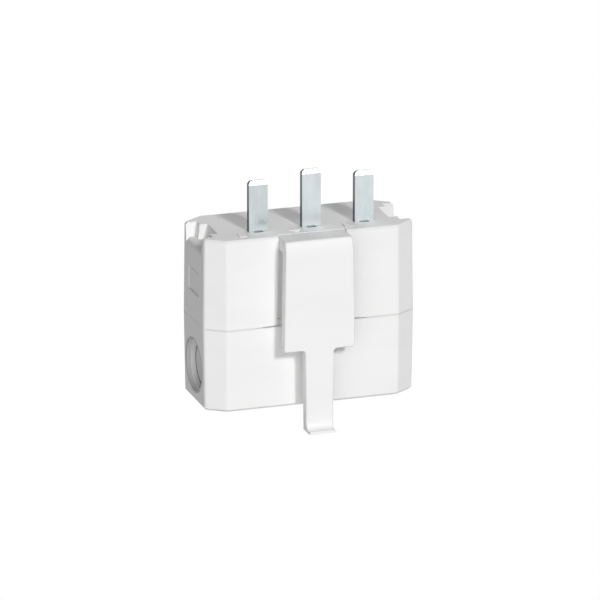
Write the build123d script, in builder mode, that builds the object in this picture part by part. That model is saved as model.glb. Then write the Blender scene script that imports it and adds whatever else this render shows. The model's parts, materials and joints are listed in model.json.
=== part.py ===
"""Ceiling light connector plug: a two-part housing with three blades, a front latch and its terminals inside.

Millimetres. The origin is the centre of the mating face, +Z runs along the blades towards the outlet,
and the latch is at the front, on the -Y side.
"""
import math
import os

from build123d import *

# Body in plan: an oblong with its four corners cut off, as wide as the contact row and the keyways need
body_depth = 20.0
corner_run = 4.3
corner_set = 2.95
edge_round = 1.0
wall = 1.6

# Body in height: the housing above the parting line, the cover below it
housing_height = 19.5
cover_height = 17.85
housing_draft = 0.75
cover_draft = 0.65
mating_plate = 2.0
cover_floor = 2.0
top_edge = 0.4
base_edge = 0.5
seam_edge = 0.08
lip_height = 1.4
lip_gap = 0.08
pry_width = 26.0
pry_height = 0.5

# Stepped keyway in the top of each end
key_depth = 3.0
key_floor = 1.4
key_back = 1.5
key_outer_set = 2.65
key_outer_width = 11.6
key_inner_set = 4.35
key_inner_width = 7.2
key_taper = 9.0
key_round = 1.2

# Snap window in each end of the housing, and the cover's tongue that hooks into it
window_drop = 8.5
window_width = 7.0
window_height = 5.1
hook_set = 0.35
hook_lead = 0.3
hook_play = 0.02
snap_gap = 0.08

# Cable entry in each end of the cover: two round steps down to a knock-out skin, scored around its edge
entry_radius = 5.65
entry_margin = 2.2
entry_step = 0.95
entry_ledge = 0.6
skin_set = 2.0
skin_thick = 0.9
score_width = 0.6
score_depth = 0.5

# Latch: an arm that stands out level with the mating face, a plate with shoulders, a tail and a toe
latch_reach = 4.5
latch_thick = 2.1
latch_sunk = 0.1
arm_thick = 2.6
bend_round = 1.1
arch_reach = 1.1
arch_drop = 4.0
plate_drop = 24.0
plate_top_width = 14.6
plate_base_width = 15.5
tail_drop = 41.8
tail_width = 6.3
tail_tip_width = 5.8
toe_reach = 2.1
toe_height = 1.9
toe_lip = 0.6
shoulder_round = 0.5
crotch_round = 0.8
latch_edge = 0.2

# Latch hinge: a bead along the arm's root in a groove of the housing
hinge_set = 1.6
hinge_radius = 0.8
hinge_overhang = 0.9
hinge_neck = 0.2
hinge_wall = 0.9
run_gap = 0.06
root_gap = 0.14
swing_gap = 0.15
root_sag = 0.3
pocket_depth = 1.0
pocket_side = 0.2

# Blades: live and neutral are equal, the earth blade in the middle is longer
row_x = 1.25
row_set = 5.75
pitch = 11.6
blade_width = 4.1
blade_thick = 1.4
blade_height = 11.0
earth_height = 12.4
tip_round = 0.9
tip_lead = 0.9
tip_thick = 0.6
shoulder_width = 6.6
shoulder_height = 2.0
blade_tail = 5.0
slot_gap = 0.1
relief_width = 2.0
relief_depth = 0.65

# Terminals: brass blocks on the blades' tails, with a wire bore from the back and a screw from below
terminal_width = 5.6
terminal_front = 1.95
terminal_back = 6.35
terminal_height = 7.0
terminal_edge = 0.3
terminal_screw_set = 2.2
bore_radius = 1.4
bore_drop = 3.2
bore_wall = 0.75
metal_gap = 0.05

# Terminal carrier: a plate with walls between the terminals, held by two screws
carrier_plate = 2.0
carrier_wall = 1.2
carrier_skirt = 8.5
carrier_room = 0.4
carrier_screw_set = 3.0
boss_radius = 2.2

# Screws
terminal_shank_radius = 1.45
terminal_head_radius = 2.4
terminal_head_height = 1.7
carrier_shank_radius = 1.05
carrier_head_radius = 1.7
carrier_head_height = 1.3
carrier_screw_bite = 0.6
clamp_shank_radius = 1.3
clamp_head_radius = 2.3
clamp_head_height = 1.6
clamp_screw_bite = 4.6
driver_slot_width = 0.7
driver_slot_share = 0.5
screw_gap = 0.2
thread_gap = 0.03

# Cord clamp: a bar across the cover on two posts
clamp_room = 0.4
clamp_end = 2.3
clamp_width = 5.2
clamp_corner = 1.7
clamp_thick = 2.2
clamp_ridge = 0.8
post_width = 4.8
post_height = 5.2

# Widths worked out from the middle of the body outwards
bay_width = terminal_width + 2 * metal_gap
carrier_half = pitch + bay_width / 2 + carrier_wall
chamber_half = row_x + carrier_half + carrier_room
half_width = chamber_half + key_back + key_inner_set
beyond = 2 * half_width

# Places from front to back
front_face = -body_depth / 2
inner_back = body_depth / 2 - wall
row_y = front_face + row_set
hinge_y = front_face + hinge_set
latch_front = front_face - latch_reach
latch_back = latch_front + latch_thick
block_front = row_y - terminal_front
block_back = row_y + terminal_back
bore_end = row_y + blade_thick / 2 + metal_gap + bore_wall
carrier_reach = inner_back - carrier_room
carrier_screw_y = inner_back - carrier_screw_set
clamp_reach = inner_back - clamp_room
clamp_y = clamp_reach - clamp_end

# Places from top to bottom
seam_z = -housing_height
base_z = seam_z - cover_height
root_top = -latch_sunk
root_base = root_top - arm_thick
notch_z = root_base - root_sag
hinge_z = root_top - arm_thick / 2
carrier_z = -mating_plate - shoulder_height
terminal_z = carrier_z - carrier_plate
entry_z = base_z + entry_margin + entry_radius
post_z = base_z + cover_floor + post_height

# The contacts in their row, and the screws that hold the carrier and the clamp
contact_names = ("live", "earth", "neutral")
contact_heights = (blade_height, earth_height, blade_height)
row_places = [(row_x + offset, row_y) for offset in (-pitch, 0, pitch)]
carrier_places = [(row_x + offset, carrier_screw_y) for offset in (-pitch / 2, pitch / 2)]
clamp_places = [(0, -clamp_y), (0, clamp_y)]
entry_wall = skin_set + skin_thick
carrier_screw_length = carrier_plate + shoulder_height + carrier_screw_bite
terminal_screw_length = terminal_height - bore_drop
clamp_screw_length = clamp_thick + clamp_screw_bite


def body_outline(inset=0.0, mode=Mode.ADD):
    """The body's eight-sided plan, moved in by an even inset."""
    slant = math.hypot(corner_run, corner_set)
    side_x = half_width - inset
    side_y = body_depth / 2 - inset
    flat_x = half_width - corner_run - inset * (slant - corner_run) / corner_set
    flat_y = body_depth / 2 - corner_set - inset * (slant - corner_set) / corner_run
    with BuildSketch(mode=Mode.PRIVATE) as plan:
        with BuildLine():
            Polyline(
                (side_x, flat_y), (flat_x, side_y), (-flat_x, side_y), (-side_x, flat_y),
                (-side_x, -flat_y), (-flat_x, -side_y), (flat_x, -side_y), (side_x, -flat_y),
                close=True,
            )
        make_face()
    add(plan.sketch, mode=mode)


def body_half(height, draft, far_edge):
    """The body from the parting line upwards: drafted walls, rounded upright edges, its far edge broken."""
    with BuildPart(mode=Mode.PRIVATE) as half:
        with BuildSketch(Plane.XY.offset(seam_z)):
            body_outline()
        extrude(amount=height, taper=draft)
        fillet(half.edges().filter_by(Plane.XY, reverse=True), edge_round)
        chamfer(half.faces().sort_by(Axis.Z)[-1].edges(), far_edge)
    return half.part


def slotted_screw(seat, shank_radius, shank_length, head_radius, head_height):
    """A cheese-head screw: its head stands on the seat plane, its shank runs the other way."""
    with BuildPart() as screw:
        with BuildSketch(seat):
            Circle(head_radius)
        extrude(amount=head_height)
        with BuildSketch(seat.offset(head_height)):
            Rectangle(beyond, driver_slot_width)
        extrude(amount=-head_height * driver_slot_share, mode=Mode.SUBTRACT)
        with BuildSketch(seat):
            Circle(shank_radius)
        extrude(amount=-shank_length)
    return screw


os.makedirs("parts", exist_ok=True)

# Upper housing
with BuildPart() as upper_housing:
    add(body_half(housing_height, housing_draft, top_edge))
    chamfer(upper_housing.faces().sort_by(Axis.Z)[0].edges(), seam_edge)
    # Cavity: full width below the keyways, narrower between them
    with BuildSketch(Plane.XY.offset(seam_z)):
        body_outline(inset=wall)
    extrude(amount=housing_height - key_depth - key_floor, mode=Mode.SUBTRACT)
    with BuildSketch(Plane.XY.offset(-mating_plate)):
        Rectangle(2 * chamber_half, 2 * inner_back)
    extrude(amount=-(key_depth + key_floor - mating_plate), mode=Mode.SUBTRACT)
    # Rebate for the cover's lip
    with BuildSketch(Plane.XY.offset(seam_z)):
        body_outline(inset=wall / 2)
    extrude(amount=lip_height + lip_gap, mode=Mode.SUBTRACT)
    # Keyways, each step tapering towards its floor
    for set_in, width in ((key_outer_set, key_outer_width), (key_inner_set, key_inner_width)):
        with BuildSketch(Plane((0, 0, 0), x_dir=(1, 0, 0), z_dir=(0, 0, -1))):
            with Locations((set_in - half_width, 0)):
                Rectangle(set_in + wall, width, align=(Align.MAX, Align.CENTER))
            mirror(about=Plane.YZ)
        extrude(amount=key_depth, taper=key_taper, mode=Mode.SUBTRACT)
    key_edges = upper_housing.edges().filter_by(Axis.Y).filter_by_position(Axis.Z, -key_depth, -key_depth)
    fillet([key_edges.sort_by(Axis.X)[0], key_edges.sort_by(Axis.X)[-1]], key_round)
    # Snap windows
    with BuildSketch(Plane.YZ):
        with Locations((0, -window_drop - window_height / 2)):
            Rectangle(window_width, window_height)
    extrude(amount=beyond, both=True, mode=Mode.SUBTRACT)
    # Rail behind the latch's root, and bosses for the carrier
    groove_half = plate_top_width / 2 + hinge_overhang + root_gap
    rail_back = hinge_y + hinge_radius + run_gap + hinge_wall
    with BuildSketch(Plane.XY.offset(-mating_plate)):
        with Locations((0, -inner_back)):
            Rectangle(
                2 * (groove_half + hinge_wall), rail_back + inner_back, align=(Align.CENTER, Align.MIN)
            )
    extrude(amount=-(shoulder_height - metal_gap))
    with BuildSketch(Plane.XY.offset(-mating_plate)):
        with Locations(*carrier_places):
            Circle(boss_radius)
    extrude(amount=-shoulder_height)
    with BuildSketch(Plane.XY.offset(carrier_z)):
        with Locations(*carrier_places):
            Circle(carrier_shank_radius + thread_gap)
    extrude(amount=carrier_screw_length - carrier_plate + screw_gap, mode=Mode.SUBTRACT)
    # Notch and groove for the latch's root
    with BuildSketch(Plane.YZ):
        with BuildLine():
            Polyline(
                (latch_front, latch_thick),
                (latch_front, notch_z),
                (hinge_y - hinge_neck + swing_gap, notch_z),
                (hinge_y - hinge_neck + swing_gap, latch_thick),
                close=True,
            )
        make_face()
    extrude(amount=plate_top_width / 2 + root_gap, both=True, mode=Mode.SUBTRACT)
    with BuildSketch(Plane.YZ):
        with Locations((hinge_y, hinge_z)):
            Circle(hinge_radius + run_gap)
    extrude(amount=groove_half, both=True, mode=Mode.SUBTRACT)
    # Pocket in the front wall behind the latch, open at the parting line
    with BuildSketch(Plane.XZ.offset(-front_face - pocket_depth)):
        with BuildLine():
            Polyline(
                (-plate_base_width / 2 - pocket_side, seam_z - wall),
                (plate_base_width / 2 + pocket_side, seam_z - wall),
                (plate_top_width / 2 + root_gap, notch_z),
                (-plate_top_width / 2 - root_gap, notch_z),
                close=True,
            )
        make_face()
    extrude(amount=beyond, mode=Mode.SUBTRACT)
    # Shallow slot under the front wall for opening the snaps
    with BuildSketch(Plane.XZ.offset(-front_face - wall / 2)):
        with BuildLine():
            ThreePointArc((-pry_width / 2, seam_z), (0, seam_z + pry_height), (pry_width / 2, seam_z))
            Line((pry_width / 2, seam_z), (-pry_width / 2, seam_z))
        make_face()
    extrude(amount=beyond, mode=Mode.SUBTRACT)
    # Blade slots, each with a small relief in front of the blade
    with BuildSketch():
        with Locations(*row_places):
            Rectangle(blade_width + 2 * slot_gap, blade_thick + 2 * slot_gap)
        with Locations(*[(x, y - blade_thick / 2) for x, y in row_places]):
            Rectangle(relief_width, 2 * relief_depth)
    extrude(amount=-mating_plate, mode=Mode.SUBTRACT)
upper_housing.part.label = "upper_housing"
export_step(upper_housing.part, "parts/upper_housing.step")

# Lower cover: the other half of the body, turned over about the parting line
with BuildPart() as lower_cover:
    seam_axis = Axis((0, 0, seam_z), (1, 0, 0))
    add(body_half(cover_height, cover_draft, base_edge).rotate(seam_axis, 180))
    # Cavity, with thicker end walls for the cable entries
    with BuildSketch(Plane.XY.offset(seam_z)):
        body_outline(inset=wall)
        Rectangle(2 * (half_width - entry_wall), body_depth, mode=Mode.INTERSECT)
    extrude(amount=-(cover_height - cover_floor), mode=Mode.SUBTRACT)
    # Lip that nests in the housing
    with BuildSketch(Plane.XY.offset(seam_z)):
        body_outline(inset=wall / 2 + lip_gap)
        body_outline(inset=wall, mode=Mode.SUBTRACT)
    extrude(amount=lip_height)
    # Snap tongues with their hooks
    with BuildSketch(Plane.XZ):
        with BuildLine():
            Polyline(
                (half_width - entry_wall, seam_z - cover_floor),
                (half_width - wall - snap_gap, seam_z - cover_floor),
                (half_width - wall - snap_gap, -window_drop - window_height + hook_play),
                (half_width - hook_set, -window_drop - window_height + hook_play),
                (half_width - hook_set, -window_drop - snap_gap - hook_lead),
                (half_width - wall - snap_gap, -window_drop - snap_gap),
                (half_width - entry_wall, -window_drop - snap_gap),
                close=True,
            )
        make_face()
        mirror(about=Plane.YZ)
    extrude(amount=window_width / 2 - snap_gap, both=True)
    # Posts for the cord clamp
    with BuildSketch(Plane.XY.offset(post_z)):
        with Locations(*clamp_places):
            Rectangle(post_width, post_width)
    extrude(amount=-post_height)
    with BuildSketch(Plane.XY.offset(post_z)):
        with Locations(*clamp_places):
            Circle(clamp_shank_radius + thread_gap)
    extrude(amount=-(clamp_screw_bite + screw_gap), mode=Mode.SUBTRACT)
    # Cable entries
    for end in (-1, 1):
        outside = Plane((end * half_width, 0, entry_z), x_dir=(0, 1, 0), z_dir=(end, 0, 0))
        for radius, depth in ((entry_radius, entry_step), (entry_radius - entry_ledge, skin_set)):
            with BuildSketch(outside):
                Circle(radius)
            extrude(amount=-depth, mode=Mode.SUBTRACT)
        with BuildSketch(outside):
            Circle(entry_radius - entry_ledge)
            Circle(entry_radius - entry_ledge - score_width, mode=Mode.SUBTRACT)
        extrude(amount=-skin_set - score_depth, mode=Mode.SUBTRACT)
lower_cover.part.label = "lower_cover"
export_step(lower_cover.part, "parts/lower_cover.step")

# Latch lever: the side view carried across, cut to the front view
with BuildPart() as latch_lever:
    arch_y = latch_front + arch_reach
    arch_z = root_top - arch_drop
    root_back = hinge_y - hinge_neck
    toe_front = latch_front - toe_reach
    with BuildSketch(Plane.YZ):
        with BuildLine():
            Line((root_back, root_top), (arch_y, root_top))
            EllipticalCenterArc((arch_y, arch_z), arch_reach, arch_drop, 90, arc_size=90)
            Line((latch_front, arch_z), (latch_front, -tail_drop + toe_height))
            TangentArc(
                (latch_front, -tail_drop + toe_height), (toe_front, -tail_drop + toe_lip), tangent=(0, -1)
            )
            Polyline(
                (toe_front, -tail_drop + toe_lip), (toe_front, -tail_drop), (latch_back, -tail_drop),
                (latch_back, root_base - bend_round),
            )
            RadiusArc((latch_back, root_base - bend_round), (latch_back + bend_round, root_base), bend_round)
            Polyline((latch_back + bend_round, root_base), (root_back, root_base), (root_back, root_top))
        make_face()
    extrude(amount=plate_base_width, both=True)
    with BuildSketch(Plane.XZ) as front_view:
        with BuildLine():
            Polyline(
                (-plate_top_width / 2, latch_thick), (plate_top_width / 2, latch_thick),
                (plate_base_width / 2, -plate_drop), (tail_width / 2, -plate_drop),
                (tail_tip_width / 2, -tail_drop - latch_thick),
                (-tail_tip_width / 2, -tail_drop - latch_thick),
                (-tail_width / 2, -plate_drop), (-plate_base_width / 2, -plate_drop),
                close=True,
            )
        make_face()
        corners = front_view.vertices().group_by(Axis.Y)[1].sort_by(Axis.X)
        fillet([corners[0], corners[-1]], shoulder_round)
        corners = front_view.vertices().group_by(Axis.Y)[1].sort_by(Axis.X)
        fillet(corners[1:3], crotch_round)
    extrude(amount=beyond, both=True, mode=Mode.INTERSECT)
    with BuildSketch(Plane.YZ):
        with Locations((hinge_y, hinge_z)):
            Circle(hinge_radius)
        with Locations((hinge_y - hinge_neck, hinge_z)):
            Rectangle(2 * hinge_neck, 2 * hinge_radius)
    extrude(amount=plate_top_width / 2, both=True)
    with BuildSketch(Plane.YZ):
        with Locations((hinge_y, hinge_z)):
            Circle(hinge_radius)
    extrude(amount=plate_top_width / 2 + hinge_overhang, both=True)
    outer_face = latch_lever.faces().filter_by(Axis.Y).sort_by(Axis.Y)[1]
    chamfer(outer_face.edges().sort_by(Axis.Z)[1:], latch_edge)
latch_lever.part.label = "latch_lever"
export_step(latch_lever.part, "parts/latch_lever.step")

# Blades: the front view carried through the thickness, cut to the side view with its tapered tip
blade_end = terminal_z - blade_tail
for name, height, (x, y) in zip(contact_names, contact_heights, row_places):
    with BuildPart() as blade:
        with BuildSketch(Plane.XZ.offset(-y)) as front_view:
            with Locations((x, (height + blade_end) / 2)):
                Rectangle(blade_width, height - blade_end)
            fillet(front_view.vertices().group_by(Axis.Y)[-1], tip_round)
            with Locations((x, -mating_plate - shoulder_height / 2)):
                Rectangle(shoulder_width, shoulder_height)
        extrude(amount=blade_thick / 2, both=True)
        with BuildSketch(Plane.YZ):
            with BuildLine():
                Polyline(
                    (y - blade_thick / 2, -beyond), (y + blade_thick / 2, -beyond),
                    (y + blade_thick / 2, height - tip_lead), (y + tip_thick / 2, height),
                    (y - tip_thick / 2, height), (y - blade_thick / 2, height - tip_lead),
                    close=True,
                )
            make_face()
        extrude(amount=beyond, both=True, mode=Mode.INTERSECT)
    blade.part.label = f"{name}_blade"
    export_step(blade.part, f"parts/{name}_blade.step")

# Terminal carrier
with BuildPart() as terminal_carrier:
    with BuildSketch(Plane.XY.offset(carrier_z)):
        with Locations((row_x, 0)):
            Rectangle(2 * carrier_half, 2 * carrier_reach)
    extrude(amount=-carrier_plate)
    # Walls on both sides of each terminal, and one along the front
    with BuildSketch(Plane.XY.offset(terminal_z)):
        with Locations((row_x, -carrier_reach)):
            Rectangle(2 * carrier_half, carrier_reach + block_back, align=(Align.CENTER, Align.MIN))
        with Locations(*[(x, block_front - metal_gap) for x, y in row_places]):
            Rectangle(bay_width, body_depth, align=(Align.CENTER, Align.MIN), mode=Mode.SUBTRACT)
        with Locations(*[(x, carrier_wall - carrier_reach) for x, y in carrier_places]):
            Rectangle(
                pitch - bay_width - 2 * carrier_wall, body_depth,
                align=(Align.CENTER, Align.MIN), mode=Mode.SUBTRACT,
            )
    extrude(amount=-carrier_skirt)
    with BuildSketch(Plane.XY.offset(carrier_z)):
        with Locations(*row_places):
            Rectangle(blade_width + 2 * slot_gap, blade_thick + 2 * slot_gap)
        with Locations(*carrier_places):
            Circle(carrier_shank_radius + screw_gap)
    extrude(amount=-carrier_plate, mode=Mode.SUBTRACT)
terminal_carrier.part.label = "terminal_carrier"
export_step(terminal_carrier.part, "parts/terminal_carrier.step")

# Carrier screws, driven up through the plate into the housing's bosses
for name, (x, y) in zip(("left", "right"), carrier_places):
    seat = Plane((x, y, terminal_z), x_dir=(1, 0, 0), z_dir=(0, 0, -1))
    screw = slotted_screw(
        seat, carrier_shank_radius, carrier_screw_length, carrier_head_radius, carrier_head_height
    )
    screw.part.label = f"carrier_screw_{name}"
    export_step(screw.part, f"parts/carrier_screw_{name}.step")

# Terminals and their screws
screw_y = block_back - terminal_screw_set
for name, (x, y) in zip(contact_names, row_places):
    with BuildPart() as terminal:
        with BuildSketch(Plane.XY.offset(terminal_z)):
            with Locations((x, block_front)):
                Rectangle(terminal_width, block_back - block_front, align=(Align.CENTER, Align.MIN))
        extrude(amount=-terminal_height)
        chamfer(terminal.edges().filter_by(Axis.Z), terminal_edge)
        with BuildSketch(Plane.XY.offset(terminal_z)):
            with Locations((x, y)):
                Rectangle(blade_width + 2 * metal_gap, blade_thick + 2 * metal_gap)
        extrude(amount=-blade_tail - metal_gap, mode=Mode.SUBTRACT)
        with BuildSketch(Plane.XZ.offset(-block_back)):
            with Locations((x, terminal_z - bore_drop)):
                Circle(bore_radius)
        extrude(amount=block_back - bore_end, mode=Mode.SUBTRACT)
        with BuildSketch(Plane.XY.offset(terminal_z - terminal_height)):
            with Locations((x, screw_y)):
                Circle(terminal_shank_radius + thread_gap)
        extrude(amount=terminal_screw_length + screw_gap, mode=Mode.SUBTRACT)
    terminal.part.label = f"{name}_terminal"
    export_step(terminal.part, f"parts/{name}_terminal.step")
    seat = Plane((x, screw_y, terminal_z - terminal_height), x_dir=(1, 0, 0), z_dir=(0, 0, -1))
    screw = slotted_screw(
        seat, terminal_shank_radius, terminal_screw_length, terminal_head_radius, terminal_head_height
    )
    screw.part.label = f"{name}_terminal_screw"
    export_step(screw.part, f"parts/{name}_terminal_screw.step")

# Cord clamp bar with a ridge that bites on the cord, and its screws
with BuildPart() as cord_clamp:
    with BuildSketch(Plane.XY.offset(post_z)):
        RectangleRounded(clamp_width, 2 * clamp_reach, clamp_corner)
    extrude(amount=clamp_thick)
    with BuildSketch(Plane.XZ):
        with Locations((0, post_z)):
            Circle(clamp_ridge)
    extrude(amount=clamp_y - post_width / 2 - screw_gap, both=True)
    with BuildSketch(Plane.XY.offset(post_z)):
        with Locations(*clamp_places):
            Circle(clamp_shank_radius + screw_gap)
    extrude(amount=clamp_thick, mode=Mode.SUBTRACT)
cord_clamp.part.label = "cord_clamp"
export_step(cord_clamp.part, "parts/cord_clamp.step")
for name, (x, y) in zip(("front", "back"), clamp_places):
    seat = Plane((x, y, post_z + clamp_thick))
    screw = slotted_screw(seat, clamp_shank_radius, clamp_screw_length, clamp_head_radius, clamp_head_height)
    screw.part.label = f"clamp_screw_{name}"
    export_step(screw.part, f"parts/clamp_screw_{name}.step")
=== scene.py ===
import json
import math

import bmesh
import bpy
import numpy as np
from bpy.props import FloatProperty, FloatVectorProperty, PointerProperty
from mathutils import Matrix, Vector


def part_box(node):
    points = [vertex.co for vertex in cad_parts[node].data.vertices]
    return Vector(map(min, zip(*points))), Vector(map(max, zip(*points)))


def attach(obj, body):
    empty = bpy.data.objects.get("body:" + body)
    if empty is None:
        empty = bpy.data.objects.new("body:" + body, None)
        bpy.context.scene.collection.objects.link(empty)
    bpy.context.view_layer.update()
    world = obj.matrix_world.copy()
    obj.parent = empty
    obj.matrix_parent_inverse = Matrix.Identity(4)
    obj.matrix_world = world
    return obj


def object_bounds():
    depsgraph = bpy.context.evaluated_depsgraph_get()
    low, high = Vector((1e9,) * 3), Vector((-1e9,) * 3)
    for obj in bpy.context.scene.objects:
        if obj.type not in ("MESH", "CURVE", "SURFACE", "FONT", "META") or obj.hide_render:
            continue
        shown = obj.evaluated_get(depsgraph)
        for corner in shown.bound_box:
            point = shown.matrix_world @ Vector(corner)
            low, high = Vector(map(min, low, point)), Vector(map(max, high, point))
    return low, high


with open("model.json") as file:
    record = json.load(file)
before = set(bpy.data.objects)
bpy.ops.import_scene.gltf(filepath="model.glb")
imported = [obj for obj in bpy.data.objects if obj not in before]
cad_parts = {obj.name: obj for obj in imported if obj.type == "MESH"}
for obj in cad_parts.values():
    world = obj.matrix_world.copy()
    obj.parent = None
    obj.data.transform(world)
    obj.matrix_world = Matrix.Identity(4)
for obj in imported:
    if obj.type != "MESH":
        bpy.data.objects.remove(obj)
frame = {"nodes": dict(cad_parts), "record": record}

bl_info = {
    "name": "Ceiling light connector plug",
    "version": (1, 0, 0),
    "blender": (4, 5, 0),
    "location": "View3D > Sidebar > Plug",
    "description": "Moulded, plated and brass finishes for the plug's solids, its pole marks and a studio",
    "category": "Object",
}

# Taken from the solids: the whole box, the parting line, the mating face and the middle of a cable entry
CAD_LOW, CAD_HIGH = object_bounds()
PARTING_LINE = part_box("upper_housing")[0].z
MATING_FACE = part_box("upper_housing")[1].z
MOUNT_PLACES = {mount["name"]: mount["pos_m"] for mount in frame["record"]["mounts"]}
CABLE_ENTRY = MOUNT_PLACES["cable_entry_right"]

# Strokes of the pole marks, each from one end to the other, in cap heights from the mark's middle
POLE_STROKES = {
    "live": [(-0.28, 0.5, -0.28, -0.5), (-0.28, -0.5, 0.30, -0.5)],
    "neutral": [(-0.34, -0.5, -0.34, 0.5), (-0.34, 0.5, 0.34, -0.5), (0.34, -0.5, 0.34, 0.5)],
    "earth": [
        (0.0, 0.5, 0.0, 0.05), (-0.5, 0.05, 0.5, 0.05),
        (-0.32, -0.22, 0.32, -0.22), (-0.14, -0.49, 0.14, -0.49),
    ],
}

# Points closer than this are one point
MERGE_DISTANCE = 1e-8

# Places of the colour sockets on a Mix node
MIX_FACTOR, MIX_FIRST, MIX_SECOND, MIX_RESULT = 0, 6, 7, 2

WHITE = (1.0, 1.0, 1.0, 1.0)
SENSOR_MM = 36.0
NEAR_CLIP, FAR_CLIP = 0.05, 20.0


def colour(name, description, default):
    """A colour property with a plain default."""
    return FloatVectorProperty(
        name=name, description=description, default=default, size=3, min=0.0, max=1.0, subtype="COLOR"
    )


def length(name, description, default):
    """A length property in metres."""
    return FloatProperty(
        name=name, description=description, default=default, precision=5, unit="LENGTH", subtype="DISTANCE"
    )


def angle(name, description, degrees):
    """An angle property, given in degrees."""
    return FloatProperty(
        name=name, description=description, default=math.radians(degrees), unit="ROTATION", subtype="ANGLE"
    )


def share(name, description, default):
    """A share property, from nothing to all."""
    return FloatProperty(
        name=name, description=description, default=default, min=0.0, max=1.0, subtype="FACTOR"
    )


def strength(name, description, default):
    """A light's strength."""
    return FloatProperty(name=name, description=description, default=default, min=0.0)


class PlugFinishes(bpy.types.PropertyGroup):
    """Colours, grain and painted shade of the plug's materials."""

    body_white: colour("Body white", "Moulded white of the housing and the cover", (0.875, 0.876, 0.872))
    latch_white: colour("Latch white", "Moulded white of the latch arm", (0.885, 0.885, 0.882))
    housing_rough: share("Housing roughness", "Middle roughness of the housing", 0.44)
    cover_rough: share("Cover roughness", "Middle roughness of the cover", 0.46)
    latch_rough: share("Latch roughness", "Middle roughness of the latch arm", 0.5)
    moulded_grain: length("Moulded grain", "Width of the fine grain on the mouldings", 0.00022)
    flow_size: length("Flow marks", "Width of the faint clouds that the melt leaves in the white", 0.009)

    # Painted shade: a grey laid into the white in the parting line and in the cable entries' rim, outer step,
    # score and skin, where shade falls
    joint_shade_grey: colour("Joint shade grey", "Grey of the painted shade in the parting line and the cable entries", (0.30, 0.30, 0.29))
    joint_width: length("Joint width", "Width of a painted shade line", 0.0003)
    # Painted shade along the parting line
    parting_shade: share("Parting shade", "Painted shade in the parting line", 0.2)
    snap_fade: length("Snap fade", "Stretch beside the snapped ends where the parting line's painted shade fades", 0.0006)
    entry_rim: length("Entry rim", "Radius of a cable entry's outer step", 0.00565)
    # Painted shadow on the end face round each cable entry's rim
    rim_shadow: share("Rim shadow", "Painted shadow on the end, round a cable entry", 0.7)
    rim_set: length("Rim set", "From the end inwards, where the rim's painted shadow is whole", 0.00012)
    # Painted shade on the wall of each cable entry's outer step
    step_shade: share("Step shade", "Painted shade on the wall of a cable entry's outer step", 0.38)
    step_set: length("Step set", "From the end inwards, where the step's painted shade is whole", 0.0003)
    entry_score: length("Entry score", "Radius at the middle of a knock-out's score", 0.00475)
    score_width: length("Score width", "Width of a knock-out's score", 0.0006)
    # Painted shade in the knock-out's score groove
    score_shade: share("Score shade", "Painted shade in a knock-out's score", 0.9)
    score_set: length("Score set", "From the body's widest point inwards to the score's painted shade", 0.00195)
    score_fade: length("Score fade", "Depth over which the score's painted shade comes in", 0.0001)
    # Painted shade on the knock-out's skin at the bottom of each cable entry
    skin_shade: share("Skin shade", "Painted shade on a knock-out's thin skin", 0.18)

    blade_plate: colour("Blade plating", "Bright plating on the flats of the blades", (0.62, 0.675, 0.69))
    live_plating: share("Live plating", "How bright the live blade is beside the others", 0.95)
    rolling_lines: length("Rolling lines", "Width of the fine lines along the blades", 0.00016)
    plating_bloom: length("Plating bloom", "Width of the clouds in the plating", 0.0032)
    # The sheared sides' dark colour is partly their sheared finish and partly painted shade
    sheared_edge_and_shade: colour("Sheared edge and shade", "Stamped sides of the blades, darkened partly as painted shade", (0.09, 0.105, 0.115))
    sheared_matt: share("Sheared matt", "Roughness that shearing adds on a blade's sides", 0.22)
    coined_matt: share("Coined matt", "Roughness that coining adds at a blade's tip", 0.32)

    drawn_brass: colour("Brass", "Drawn bar of the terminals", (0.74, 0.55, 0.24))
    screw_zinc: colour("Screw zinc", "Zinc on the steel screws", (0.60, 0.61, 0.63))
    carrier_ivory: colour("Carrier ivory", "Matt plastic of the terminal carrier", (0.78, 0.76, 0.70))
    clamp_grey: colour("Clamp grey", "Matt plastic of the cord clamp", (0.62, 0.62, 0.61))
    spark_grain: length("Spark grain", "Width of the speckle on the matt plastics", 0.0004)
    matt_drift: length("Matt drift", "Width of the clouds on the matt plastics", 0.006)


class PlugMarks(bpy.types.PropertyGroup):
    """Sizes of the raised pole marks on the mating face."""

    cap_height: length("Cap height", "Height of a letter", 0.0021)
    stroke: length("Stroke", "Width of a stroke", 0.00042)
    relief: length("Relief", "How far a mark stands off the face", 0.0002)
    seat: length("Seat", "How far a mark is let into the face", 0.00003)
    left_of_blade: length("Left of blade", "From a blade's middle to its mark, across", 0.00415)
    front_of_blade: length("Front of blade", "From a blade's middle to its mark, forwards", 0.0023)


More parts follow.
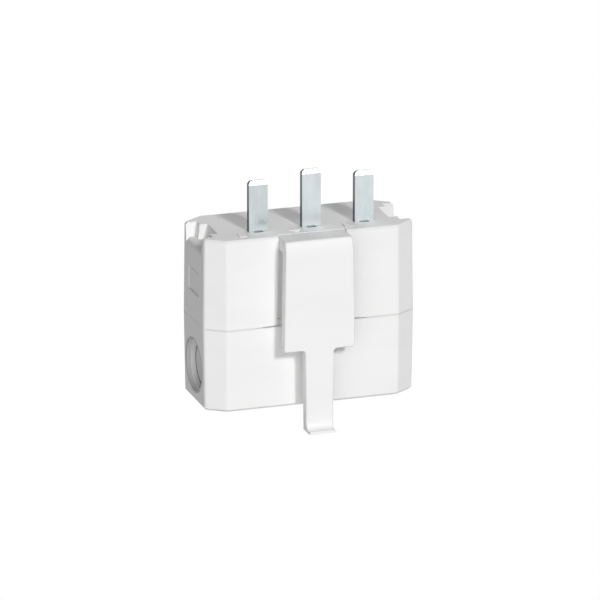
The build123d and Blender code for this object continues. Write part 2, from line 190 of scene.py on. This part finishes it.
class PlugStudio(bpy.types.PropertyGroup):
    """Camera, lamps and floor. Lamps turn to the right of the latch side and rise above the level."""

    azimuth: angle("Azimuth", "Camera's turn to the left of the latch side", 18.10)
    elevation: angle("Elevation", "Camera's height above the level", 17.97)
    distance: length("Distance", "From the aim point to the camera", 1.2387)
    aim_across: length("Aim across", "Aim point to the right of the mating face's middle", 0.00034)
    aim_up: length("Aim up", "Aim point above the mating face's middle, in the picture", -0.016685)
    lens: FloatProperty(name="Lens", description="Focal length in millimetres", default=355.2, unit="CAMERA")

    key_power: strength("Key power", "Strength of the main lamp, in front and above", 1.54)
    key_turn: angle("Key turn", "Turn of the main lamp", 11.0)
    key_rise: angle("Key rise", "Rise of the main lamp", 30.0)
    key_width: angle("Key width", "Width of the main lamp, which softens its shadows", 9.0)
    front_power: strength("Front power", "Strength of the broad lamp in front", 1.62)
    front_turn: angle("Front turn", "Turn of the broad lamp in front", -25.0)
    front_rise: angle("Front rise", "Rise of the broad lamp in front", 8.0)
    front_width: angle("Front width", "Width of the broad lamp in front", 80.0)
    right_power: strength("Right power", "Strength of the lamp at the right end", 0.38)
    right_turn: angle("Right turn", "Turn of the lamp at the right end", 95.0)
    right_rise: angle("Right rise", "Rise of the lamp at the right end", 8.0)
    right_width: angle("Right width", "Width of the lamp at the right end", 30.0)
    back_power: strength("Back power", "Strength of the broad lamp behind", 1.8)
    back_turn: angle("Back turn", "Turn of the broad lamp behind", 150.0)
    back_rise: angle("Back rise", "Rise of the broad lamp behind", 7.0)
    back_width: angle("Back width", "Width of the broad lamp behind", 55.0)
    room_light: strength("Room light", "Soft light from all sides", 0.05)

    floor_drop: length("Floor drop", "Floor below the mating face", 0.28)
    floor_reach: length("Floor reach", "Radius of the floor", 0.45)
    floor_pale: colour("Floor", "Pale grey of the floor", (0.70, 0.70, 0.70))
    floor_drift: length("Floor drift", "Width of the faint clouds on the floor", 0.05)
    floor_lift: strength("Floor lift", "White that the floor adds where it is seen", 0.75)


class Finish:
    """A material under work: its tree, its shader and the Object coordinates that its patterns lie on."""

    def __init__(self, name):
        self.material = bpy.data.materials.new(name)
        self.material.use_nodes = True
        self.tree = self.material.node_tree
        self.shader = self.tree.nodes["Principled BSDF"]
        self.place = self.node("ShaderNodeTexCoord").outputs["Object"]

    def node(self, kind, **inputs):
        """A new node with the given inputs set."""
        made = self.tree.nodes.new(kind)
        for socket, value in inputs.items():
            made.inputs[socket].default_value = value
        return made

    def link(self, source, target):
        """Joins an output to an input."""
        self.tree.links.new(source, target)

    def feed(self, socket, value):
        """Gives an input a value: another node's output, a number or a colour."""
        if isinstance(value, bpy.types.NodeSocket):
            self.link(value, socket)
        else:
            socket.default_value = value

    def even(self, **sockets):
        """Values that are the same all over the surface, on the shader's own sockets."""
        for socket, value in sockets.items():
            self.shader.inputs[socket.replace("_", " ")].default_value = value

    def clouds(self, size, detail, stretch=(1.0, 1.0, 1.0)):
        """Noise with blobs of a given width, drawn out along each axis by its stretch."""
        mapping = self.node("ShaderNodeMapping")
        mapping.inputs["Scale"].default_value = [1.0 / (size * factor) for factor in stretch]
        noise = self.node("ShaderNodeTexNoise", Scale=1.0, Detail=detail)
        self.link(self.place, mapping.inputs["Vector"])
        self.link(mapping.outputs["Vector"], noise.inputs["Vector"])
        return noise.outputs["Fac"]

    def spread(self, factor, low, high, start=0.3, end=0.7):
        """A factor's range, from start to end, carried to the range from low to high and held beyond it."""
        mapped = self.node("ShaderNodeMapRange")
        for socket, value in zip(("From Min", "From Max", "To Min", "To Max"), (start, end, low, high)):
            mapped.inputs[socket].default_value = value
        self.link(factor, mapped.inputs["Value"])
        return mapped.outputs["Result"]

    def reckon(self, operation, *values):
        """A calculation on outputs or numbers."""
        step = self.node("ShaderNodeMath")
        step.operation = operation
        for socket, value in zip(step.inputs, values):
            self.feed(socket, value)
        return step.outputs["Value"]

    def split(self, vector):
        """The three parts of a vector."""
        parts = self.node("ShaderNodeSeparateXYZ")
        self.link(vector, parts.inputs["Vector"])
        return parts.outputs

    def line(self, value, middle, width):
        """One within half a width of the middle, and nought from a whole width on."""
        off = self.reckon("ABSOLUTE", self.reckon("SUBTRACT", value, middle))
        return self.spread(off, low=1.0, high=0.0, start=width / 2.0, end=width)

    def mix(self, factor, first, second):
        """One colour to another by a factor; each is an output or a colour."""
        blend = self.node("ShaderNodeMix")
        blend.data_type = "RGBA"
        self.link(factor, blend.inputs[MIX_FACTOR])
        self.feed(blend.inputs[MIX_FIRST], first)
        self.feed(blend.inputs[MIX_SECOND], second)
        return blend.outputs[MIX_RESULT]

    def clouded(self, pattern, rgb, dark, light):
        """A colour that goes from a darker to a lighter shade of itself with a pattern."""
        return self.mix(self.spread(pattern, low=0.0, high=1.0), shade(rgb, dark), shade(rgb, light))

    def overlaid(self, pattern, under, tone, most):
        """A tone laid over what is under it, by at most a share, where a pattern is strong."""
        return self.mix(self.spread(pattern, low=0.0, high=most), under, tone)

    def paint(self, value):
        """The shader's colour from an output."""
        self.link(value, self.shader.inputs["Base Color"])

    def roughen(self, value):
        """The shader's roughness from an output."""
        self.link(value, self.shader.inputs["Roughness"])

    def emboss(self, height, depth, strength):
        """Relief of a given depth from a height pattern, into the shader's normal."""
        relief = self.node("ShaderNodeBump", Distance=depth, Strength=strength)
        self.link(height, relief.inputs["Height"])
        self.link(relief.outputs["Normal"], self.shader.inputs["Normal"])


def shade(rgb, factor=1.0):
    """A colour made darker or lighter by a factor, kept under white, with its alpha."""
    return (*(min(value * factor, 1.0) for value in rgb), 1.0)


def painted_shade_in_joints(finish, look):
    """Painted shade: in the parting line but for its snapped ends, and in the cable entries, with a painted
    shadow on the end round each rim.

    Each place is a line or a disc, by height or by radius round the entries' axis, and is kept to a stretch
    of the way from the body's middle to its end.
    """
    x, y, z = finish.split(finish.place)
    across = finish.reckon("ABSOLUTE", x)
    end_face, _, entry_height = CABLE_ENTRY
    rise = finish.reckon("SUBTRACT", z, entry_height)
    square = finish.reckon("MULTIPLY_ADD", y, y, finish.reckon("MULTIPLY", rise, rise))
    radius = finish.reckon("SQRT", square)
    inside, outside = end_face - look.step_set, end_face - look.rim_set
    mouth = CAD_HIGH.x - look.score_set
    skin_edge = look.entry_score - look.score_width / 2.0
    parting = finish.line(z, PARTING_LINE, look.joint_width)
    rim = finish.line(radius, look.entry_rim + look.joint_width / 2.0, look.joint_width)
    step = finish.line(radius, look.entry_rim, look.joint_width)
    score = finish.line(radius, look.entry_score, look.score_width)
    skin = finish.spread(radius, low=1.0, high=0.0, start=skin_edge, end=look.entry_score)
    painted_shade = 0.0
    # Painted shade in the parting line, the outer step, the score and the skin, and a painted shadow on the
    # end round the rim
    for place, low, high, start, end in (
        (parting, look.parting_shade, 0.0, end_face - look.snap_fade, end_face),
        (rim, 0.0, look.rim_shadow, inside, outside),
        (step, look.step_shade, 0.0, inside, outside),
        (score, look.score_shade, 0.0, mouth - look.score_fade, mouth),
        (skin, look.skin_shade, 0.0, mouth, mouth + look.score_fade),
    ):
        stretch = finish.spread(across, low, high, start, end)
        painted_shade = finish.reckon("MAXIMUM", painted_shade, finish.reckon("MULTIPLY", place, stretch))
    return painted_shade


def moulded_white(name, white, rough, look, with_joint_shade=True):
    """Satin moulded plastic: faint clouds in the white, fine grain in gloss and relief, painted shade in the
    joints and cable entries.
    """
    finish = Finish(name)
    finish.even(Specular_IOR_Level=0.42)
    flow = finish.clouds(look.flow_size, detail=3.0, stretch=(1.6, 1.0, 0.7))
    grain = finish.clouds(look.moulded_grain, detail=1.0)
    surface = finish.clouded(flow, white, dark=0.985, light=1.012)
    # Painted shade laid into the white in the parting line and the cable entries
    if with_joint_shade:
        surface = finish.mix(painted_shade_in_joints(finish, look), surface, shade(look.joint_shade_grey))
    finish.paint(surface)
    finish.roughen(finish.spread(grain, low=rough - 0.05, high=rough + 0.06))
    finish.emboss(grain, depth=0.000006, strength=0.35)
    return finish.material


def plated_blade(name, bright, look):
    """Bright plating with fine upright rolling lines, matt at the coined tip, and dark on the sheared sides:
    a matt sheared finish with painted shade.
    """
    finish = Finish(name)
    finish.even(Metallic=1.0)
    rolled = finish.clouds(look.rolling_lines, detail=2.0, stretch=(1.0, 1.0, 26.0))
    bloom = finish.clouds(look.plating_bloom, detail=2.0, stretch=(1.0, 1.0, 1.8))
    plating = [value * bright for value in look.blade_plate]
    surface = finish.clouded(bloom, plating, dark=0.94, light=1.10)
    surface = finish.overlaid(rolled, surface, shade(plating, 1.18), most=0.35)
    facing = finish.split(finish.node("ShaderNodeNewGeometry").outputs["True Normal"])
    sideways = finish.reckon("ABSOLUTE", facing["X"])
    sheared = finish.spread(sideways, low=0.0, high=1.0, start=0.1, end=0.35)
    coined = finish.spread(facing["Z"], low=0.0, high=look.coined_matt, start=0.15, end=0.3)
    matt = finish.reckon("MAXIMUM", coined, finish.reckon("MULTIPLY", sheared, look.sheared_matt))
    # Sheared sides darkened: their sheared finish with painted shade
    finish.paint(finish.mix(sheared, surface, shade(look.sheared_edge_and_shade)))
    finish.roughen(finish.reckon("ADD", matt, finish.spread(rolled, low=0.16, high=0.24)))
    finish.emboss(rolled, depth=0.000004, strength=0.4)
    return finish.material


def drawn_metal(name, rgb, rough, line_width, along):
    """Drawn or turned metal: fine lines along an axis in colour, roughness and relief, and broad stains."""
    finish = Finish(name)
    finish.even(Metallic=1.0)
    lines = finish.clouds(line_width, detail=3.0, stretch=along)
    stain = finish.clouds(line_width * 20.0, detail=2.0)
    surface = finish.clouded(lines, rgb, dark=0.92, light=1.08)
    finish.paint(finish.overlaid(stain, surface, shade(rgb, 0.8), most=0.3))
    finish.roughen(finish.spread(lines, low=rough - 0.06, high=rough + 0.08))
    finish.emboss(lines, depth=0.000005, strength=0.4)
    return finish.material


def matt_plastic(name, rgb, look):
    """Spark-eroded matt plastic: small speckle in the colour and a coarse grain in the relief."""
    finish = Finish(name)
    finish.even(Specular_IOR_Level=0.35)
    speckle = finish.clouds(look.spark_grain, detail=2.0)
    drift = finish.clouds(look.matt_drift, detail=2.0)
    surface = finish.clouded(drift, rgb, dark=0.96, light=1.03)
    finish.paint(finish.overlaid(speckle, surface, shade(rgb, 0.88), most=0.25))
    finish.roughen(finish.spread(speckle, low=0.55, high=0.7))
    finish.emboss(speckle, depth=0.00002, strength=0.4)
    return finish.material


def wear(node, material):
    """Puts a material on a solid in place of the plain one that it came with."""
    frame["nodes"][node].material_slots[0].material = material


def raised_strokes(name, strokes, width, relief, seat, around=40, across=9):
    """Rounded bars on a face, one for each stroke from a to b.

    Round the stroke, at turn p, the rim's centre is b where (cos p, sin p) points towards b and a elsewhere.
    Over it, from t = -1 at the foot to t = 1 at the crest, with c = cos(t 90 deg) and s = sin(t 90 deg):
    place = centre + (cos p, sin p) width / 2 * c ** 0.5, and height = relief * s ** 0.5 above the face,
    or -seat * (-s) ** 0.5 below it, which gives flat crests with soft edges.
    """
    ends = np.asarray(strokes, float)
    start, end = ends[:, None, None, 0:2], ends[:, None, None, 2:4]
    turn = np.linspace(0.0, 2.0 * np.pi, around, endpoint=False)[None, :, None]
    ray = np.stack(np.broadcast_arrays(np.cos(turn), np.sin(turn)), axis=-1)
    tilt = np.linspace(-1.0, 1.0, across)[None, None, :] * np.pi / 2.0
    rim = np.sqrt(np.clip(np.cos(tilt), 0.0, 1.0))
    rise = np.sqrt(np.abs(np.sin(tilt)))
    towards = np.sum(ray * (end - start), axis=-1, keepdims=True) > 0.0
    flat = np.where(towards, end, start) + ray * rim[..., None] * width / 2.0
    height = np.where(tilt < 0.0, -seat * rise, relief * rise)
    height = np.broadcast_to(height, flat.shape[:3])
    points = np.concatenate([flat, height[..., None]], axis=-1).reshape(-1, 3)
    cell = np.arange(len(ends) * around * across).reshape(len(ends), around, across)
    beside = np.roll(cell, -1, axis=1)
    corners = [cell[..., :-1], beside[..., :-1], beside[..., 1:], cell[..., 1:]]
    quads = np.stack(corners, axis=-1).reshape(-1, 4)
    mesh = bpy.data.meshes.new(name)
    mesh.from_pydata(points, [], quads)
    work = bmesh.new()
    work.from_mesh(mesh)
    bmesh.ops.remove_doubles(work, verts=work.verts, dist=MERGE_DISTANCE)
    bmesh.ops.dissolve_degenerate(work, edges=work.edges, dist=MERGE_DISTANCE)
    bmesh.ops.recalc_face_normals(work, faces=work.faces)
    work.to_mesh(mesh)
    work.free()
    mesh.polygons.foreach_set("use_smooth", np.ones(len(mesh.polygons), bool))
    piece = bpy.data.objects.new(name, mesh)
    bpy.context.scene.collection.objects.link(piece)
    return piece


class PLUG_OT_white_mouldings(bpy.types.Operator):
    """Satin white for the housing, the cover and the latch arm."""

    bl_idname = "plug.white_mouldings"
    bl_label = "White mouldings"

    def execute(self, context):
        look = context.scene.plug_finishes
        wear("upper_housing", moulded_white("housing white", look.body_white, look.housing_rough, look))
        wear("lower_cover", moulded_white("cover white", look.body_white, look.cover_rough, look))
        latch = moulded_white("latch white", look.latch_white, look.latch_rough, look, with_joint_shade=False)
        wear("latch_lever", latch)
        return {"FINISHED"}


class PLUG_OT_blades(bpy.types.Operator):
    """Bright plating for the three blades, a little duller on the live one."""

    bl_idname = "plug.blades"
    bl_label = "Blades"

    def execute(self, context):
        look = context.scene.plug_finishes
        for pole, bright in (("live", look.live_plating), ("earth", 1.0), ("neutral", 1.0)):
            wear(f"{pole}_blade", plated_blade(f"{pole} blade plating", bright, look))
        return {"FINISHED"}


class PLUG_OT_terminals(bpy.types.Operator):
    """Drawn brass for the terminals and zinc for every screw."""

    bl_idname = "plug.terminals"
    bl_label = "Terminals and screws"

    def execute(self, context):
        look = context.scene.plug_finishes
        brass = drawn_metal(
            "drawn brass", look.drawn_brass, rough=0.32, line_width=0.00012, along=(1.0, 30.0, 1.0)
        )
        zinc = drawn_metal(
            "zinc screw", look.screw_zinc, rough=0.36, line_width=0.00010, along=(6.0, 6.0, 1.0)
        )
        for node in frame["nodes"]:
            if node.endswith("_terminal"):
                wear(node, brass)
            elif "screw" in node:
                wear(node, zinc)
        return {"FINISHED"}


class PLUG_OT_insulators(bpy.types.Operator):
    """Matt plastic for the terminal carrier and the cord clamp."""

    bl_idname = "plug.insulators"
    bl_label = "Carrier and clamp"

    def execute(self, context):
        look = context.scene.plug_finishes
        wear("terminal_carrier", matt_plastic("carrier ivory", look.carrier_ivory, look))
        wear("cord_clamp", matt_plastic("clamp grey", look.clamp_grey, look))
        return {"FINISHED"}


class PLUG_OT_pole_marks(bpy.types.Operator):
    """Raised L, N and earth marks on the mating face, each beside its blade."""

    bl_idname = "plug.pole_marks"
    bl_label = "Pole marks"

    def execute(self, context):
        size = context.scene.plug_marks
        for pole, strokes in POLE_STROKES.items():
            low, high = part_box(f"{pole}_blade")
            middle = (low + high) / 2.0
            scaled = np.asarray(strokes) * size.cap_height
            mark = raised_strokes(f"{pole}_mark", scaled, size.stroke, size.relief, size.seat)
            place = (middle.x - size.left_of_blade, middle.y - size.front_of_blade, MATING_FACE)
            mark.data.transform(Matrix.Translation(place))
            mark.data.materials.append(frame["nodes"]["upper_housing"].material_slots[0].material)
            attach(mark, "plug")
        return {"FINISHED"}


def seen(tree):
    """One where a camera, a mirror or a clear surface looks on, and nought where light only bounces."""
    path = tree.nodes.new("ShaderNodeLightPath").outputs
    total = path["Is Camera Ray"]
    for name in ("Is Glossy Ray", "Is Transmission Ray"):
        either = tree.nodes.new("ShaderNodeMath")
        either.operation = "MAXIMUM"
        tree.links.new(total, either.inputs[0])
        tree.links.new(path[name], either.inputs[1])
        total = either.outputs["Value"]
    return total


def studio_world(room_light):
    """White where it is seen, and elsewhere a weak soft light."""
    world = bpy.data.worlds.new("studio white")
    world.use_nodes = True
    tree = world.node_tree
    soft = tree.nodes["Background"]
    soft.inputs["Color"].default_value = WHITE
    soft.inputs["Strength"].default_value = room_light
    white = tree.nodes.new("ShaderNodeBackground")
    white.inputs["Color"].default_value = WHITE
    white.inputs["Strength"].default_value = 1.0
    choice = tree.nodes.new("ShaderNodeMixShader")
    tree.links.new(seen(tree), choice.inputs["Fac"])
    tree.links.new(soft.outputs["Background"], choice.inputs[1])
    tree.links.new(white.outputs["Background"], choice.inputs[2])
    tree.links.new(choice.outputs["Shader"], tree.nodes["World Output"].inputs["Surface"])
    bpy.context.scene.world = world


def pale_floor(studio, rings=24, around=96):
    """A round floor: place = (r cos p, r sin p, -drop), with r from 0 to the reach and p once round."""
    radius = np.linspace(0.0, studio.floor_reach, rings + 1)[1:, None]
    turn = np.linspace(0.0, 2.0 * np.pi, around, endpoint=False)[None, :]
    level = np.full((rings, around), -studio.floor_drop)
    rim = np.stack([radius * np.cos(turn), radius * np.sin(turn), level], axis=-1)
    points = np.concatenate([[[0.0, 0.0, -studio.floor_drop]], rim.reshape(-1, 3)])
    cell = 1 + np.arange(rings * around).reshape(rings, around)
    beside = np.roll(cell, -1, axis=1)
    quads = np.stack([cell[:-1], cell[1:], beside[1:], beside[:-1]], axis=-1).reshape(-1, 4)
    fan = np.stack([np.zeros(around, int), cell[0], beside[0]], axis=-1)
    mesh = bpy.data.meshes.new("floor")
    mesh.from_pydata(points, [], quads.tolist() + fan.tolist())
    floor = bpy.data.objects.new("floor", mesh)
    bpy.context.scene.collection.objects.link(floor)
    finish = Finish("pale floor")
    drift = finish.clouds(studio.floor_drift, detail=2.0)
    finish.paint(finish.clouded(drift, studio.floor_pale, dark=0.985, light=1.01))
    finish.even(Roughness=0.9, Specular_IOR_Level=0.0, Emission_Color=WHITE)
    glow = finish.reckon("MULTIPLY", seen(finish.tree), studio.floor_lift)
    finish.link(glow, finish.shader.inputs["Emission Strength"])
    mesh.materials.append(finish.material)


def sun(name, turn, rise, width, power, mirrored):
    """A far lamp, turned to the right of the latch side and raised above the level.

    Only a mirrored lamp shows in bright metal, which otherwise shows the white surroundings.
    """
    lamp = bpy.data.lights.new(name, "SUN")
    lamp.energy = power
    lamp.angle = width
    holder = bpy.data.objects.new(name, lamp)
    level = math.cos(rise)
    towards = Vector((math.sin(turn) * level, -math.cos(turn) * level, math.sin(rise)))
    holder.rotation_euler = towards.to_track_quat("Z", "Y").to_euler()
    holder.visible_glossy = mirrored
    bpy.context.scene.collection.objects.link(holder)


def camera(studio):
    """A long lens aimed from the front and left, a little above."""
    turn, rise = studio.azimuth, studio.elevation
    right = Vector((math.cos(turn), -math.sin(turn), 0.0))
    back = Vector((-math.sin(turn) * math.cos(rise), -math.cos(turn) * math.cos(rise), math.sin(rise)))
    up = back.cross(right)
    lens = bpy.data.cameras.new("camera")
    lens.lens = studio.lens
    lens.sensor_width = SENSOR_MM
    lens.clip_start = NEAR_CLIP
    lens.clip_end = FAR_CLIP
    holder = bpy.data.objects.new("camera", lens)
    turned = Matrix((right, up, back)).transposed().to_4x4()
    aim = right * studio.aim_across + up * studio.aim_up
    holder.matrix_world = Matrix.Translation(aim + back * studio.distance) @ turned
    bpy.context.scene.collection.objects.link(holder)
    bpy.context.scene.camera = holder


class PLUG_OT_studio(bpy.types.Operator):
    """Camera, soft lamps, white surroundings and a pale floor."""

    bl_idname = "plug.studio"
    bl_label = "Studio"

    def execute(self, context):
        studio = context.scene.plug_studio
        context.scene.view_settings.view_transform = "Standard"
        studio_world(studio.room_light)
        pale_floor(studio)
        for lamp in ("key", "front", "right", "back"):
            setting = {part: getattr(studio, f"{lamp}_{part}") for part in ("turn", "rise", "width", "power")}
            sun(f"{lamp}_lamp", mirrored=lamp == "key", **setting)
        camera(studio)
        return {"FINISHED"}


STEPS = (
    PLUG_OT_white_mouldings, PLUG_OT_blades, PLUG_OT_terminals, PLUG_OT_insulators, PLUG_OT_pole_marks,
    PLUG_OT_studio,
)
GROUPS = {"plug_finishes": PlugFinishes, "plug_marks": PlugMarks, "plug_studio": PlugStudio}


class PLUG_PT_panel(bpy.types.Panel):
    """The plug's steps, and the sizes and colours that they use."""

    bl_idname = "PLUG_PT_panel"
    bl_label = "Connector plug"
    bl_space_type = "VIEW_3D"
    bl_region_type = "UI"
    bl_category = "Plug"

    def draw(self, context):
        for step in STEPS:
            self.layout.operator(step.bl_idname)
        for group, kind in GROUPS.items():
            box = self.layout.box()
            for name in kind.__annotations__:
                box.prop(getattr(context.scene, group), name)


CLASSES = (*GROUPS.values(), *STEPS, PLUG_PT_panel)


def register():
    for kind in CLASSES:
        bpy.utils.register_class(kind)
    for name, kind in GROUPS.items():
        setattr(bpy.types.Scene, name, PointerProperty(type=kind))


def unregister():
    for name in GROUPS:
        delattr(bpy.types.Scene, name)
    for kind in reversed(CLASSES):
        bpy.utils.unregister_class(kind)


def main():
    register()
    bpy.ops.plug.white_mouldings()
    bpy.ops.plug.blades()
    bpy.ops.plug.terminals()
    bpy.ops.plug.insulators()
    bpy.ops.plug.pole_marks()
    bpy.ops.plug.studio()


if __name__ == "__main__":
    main()
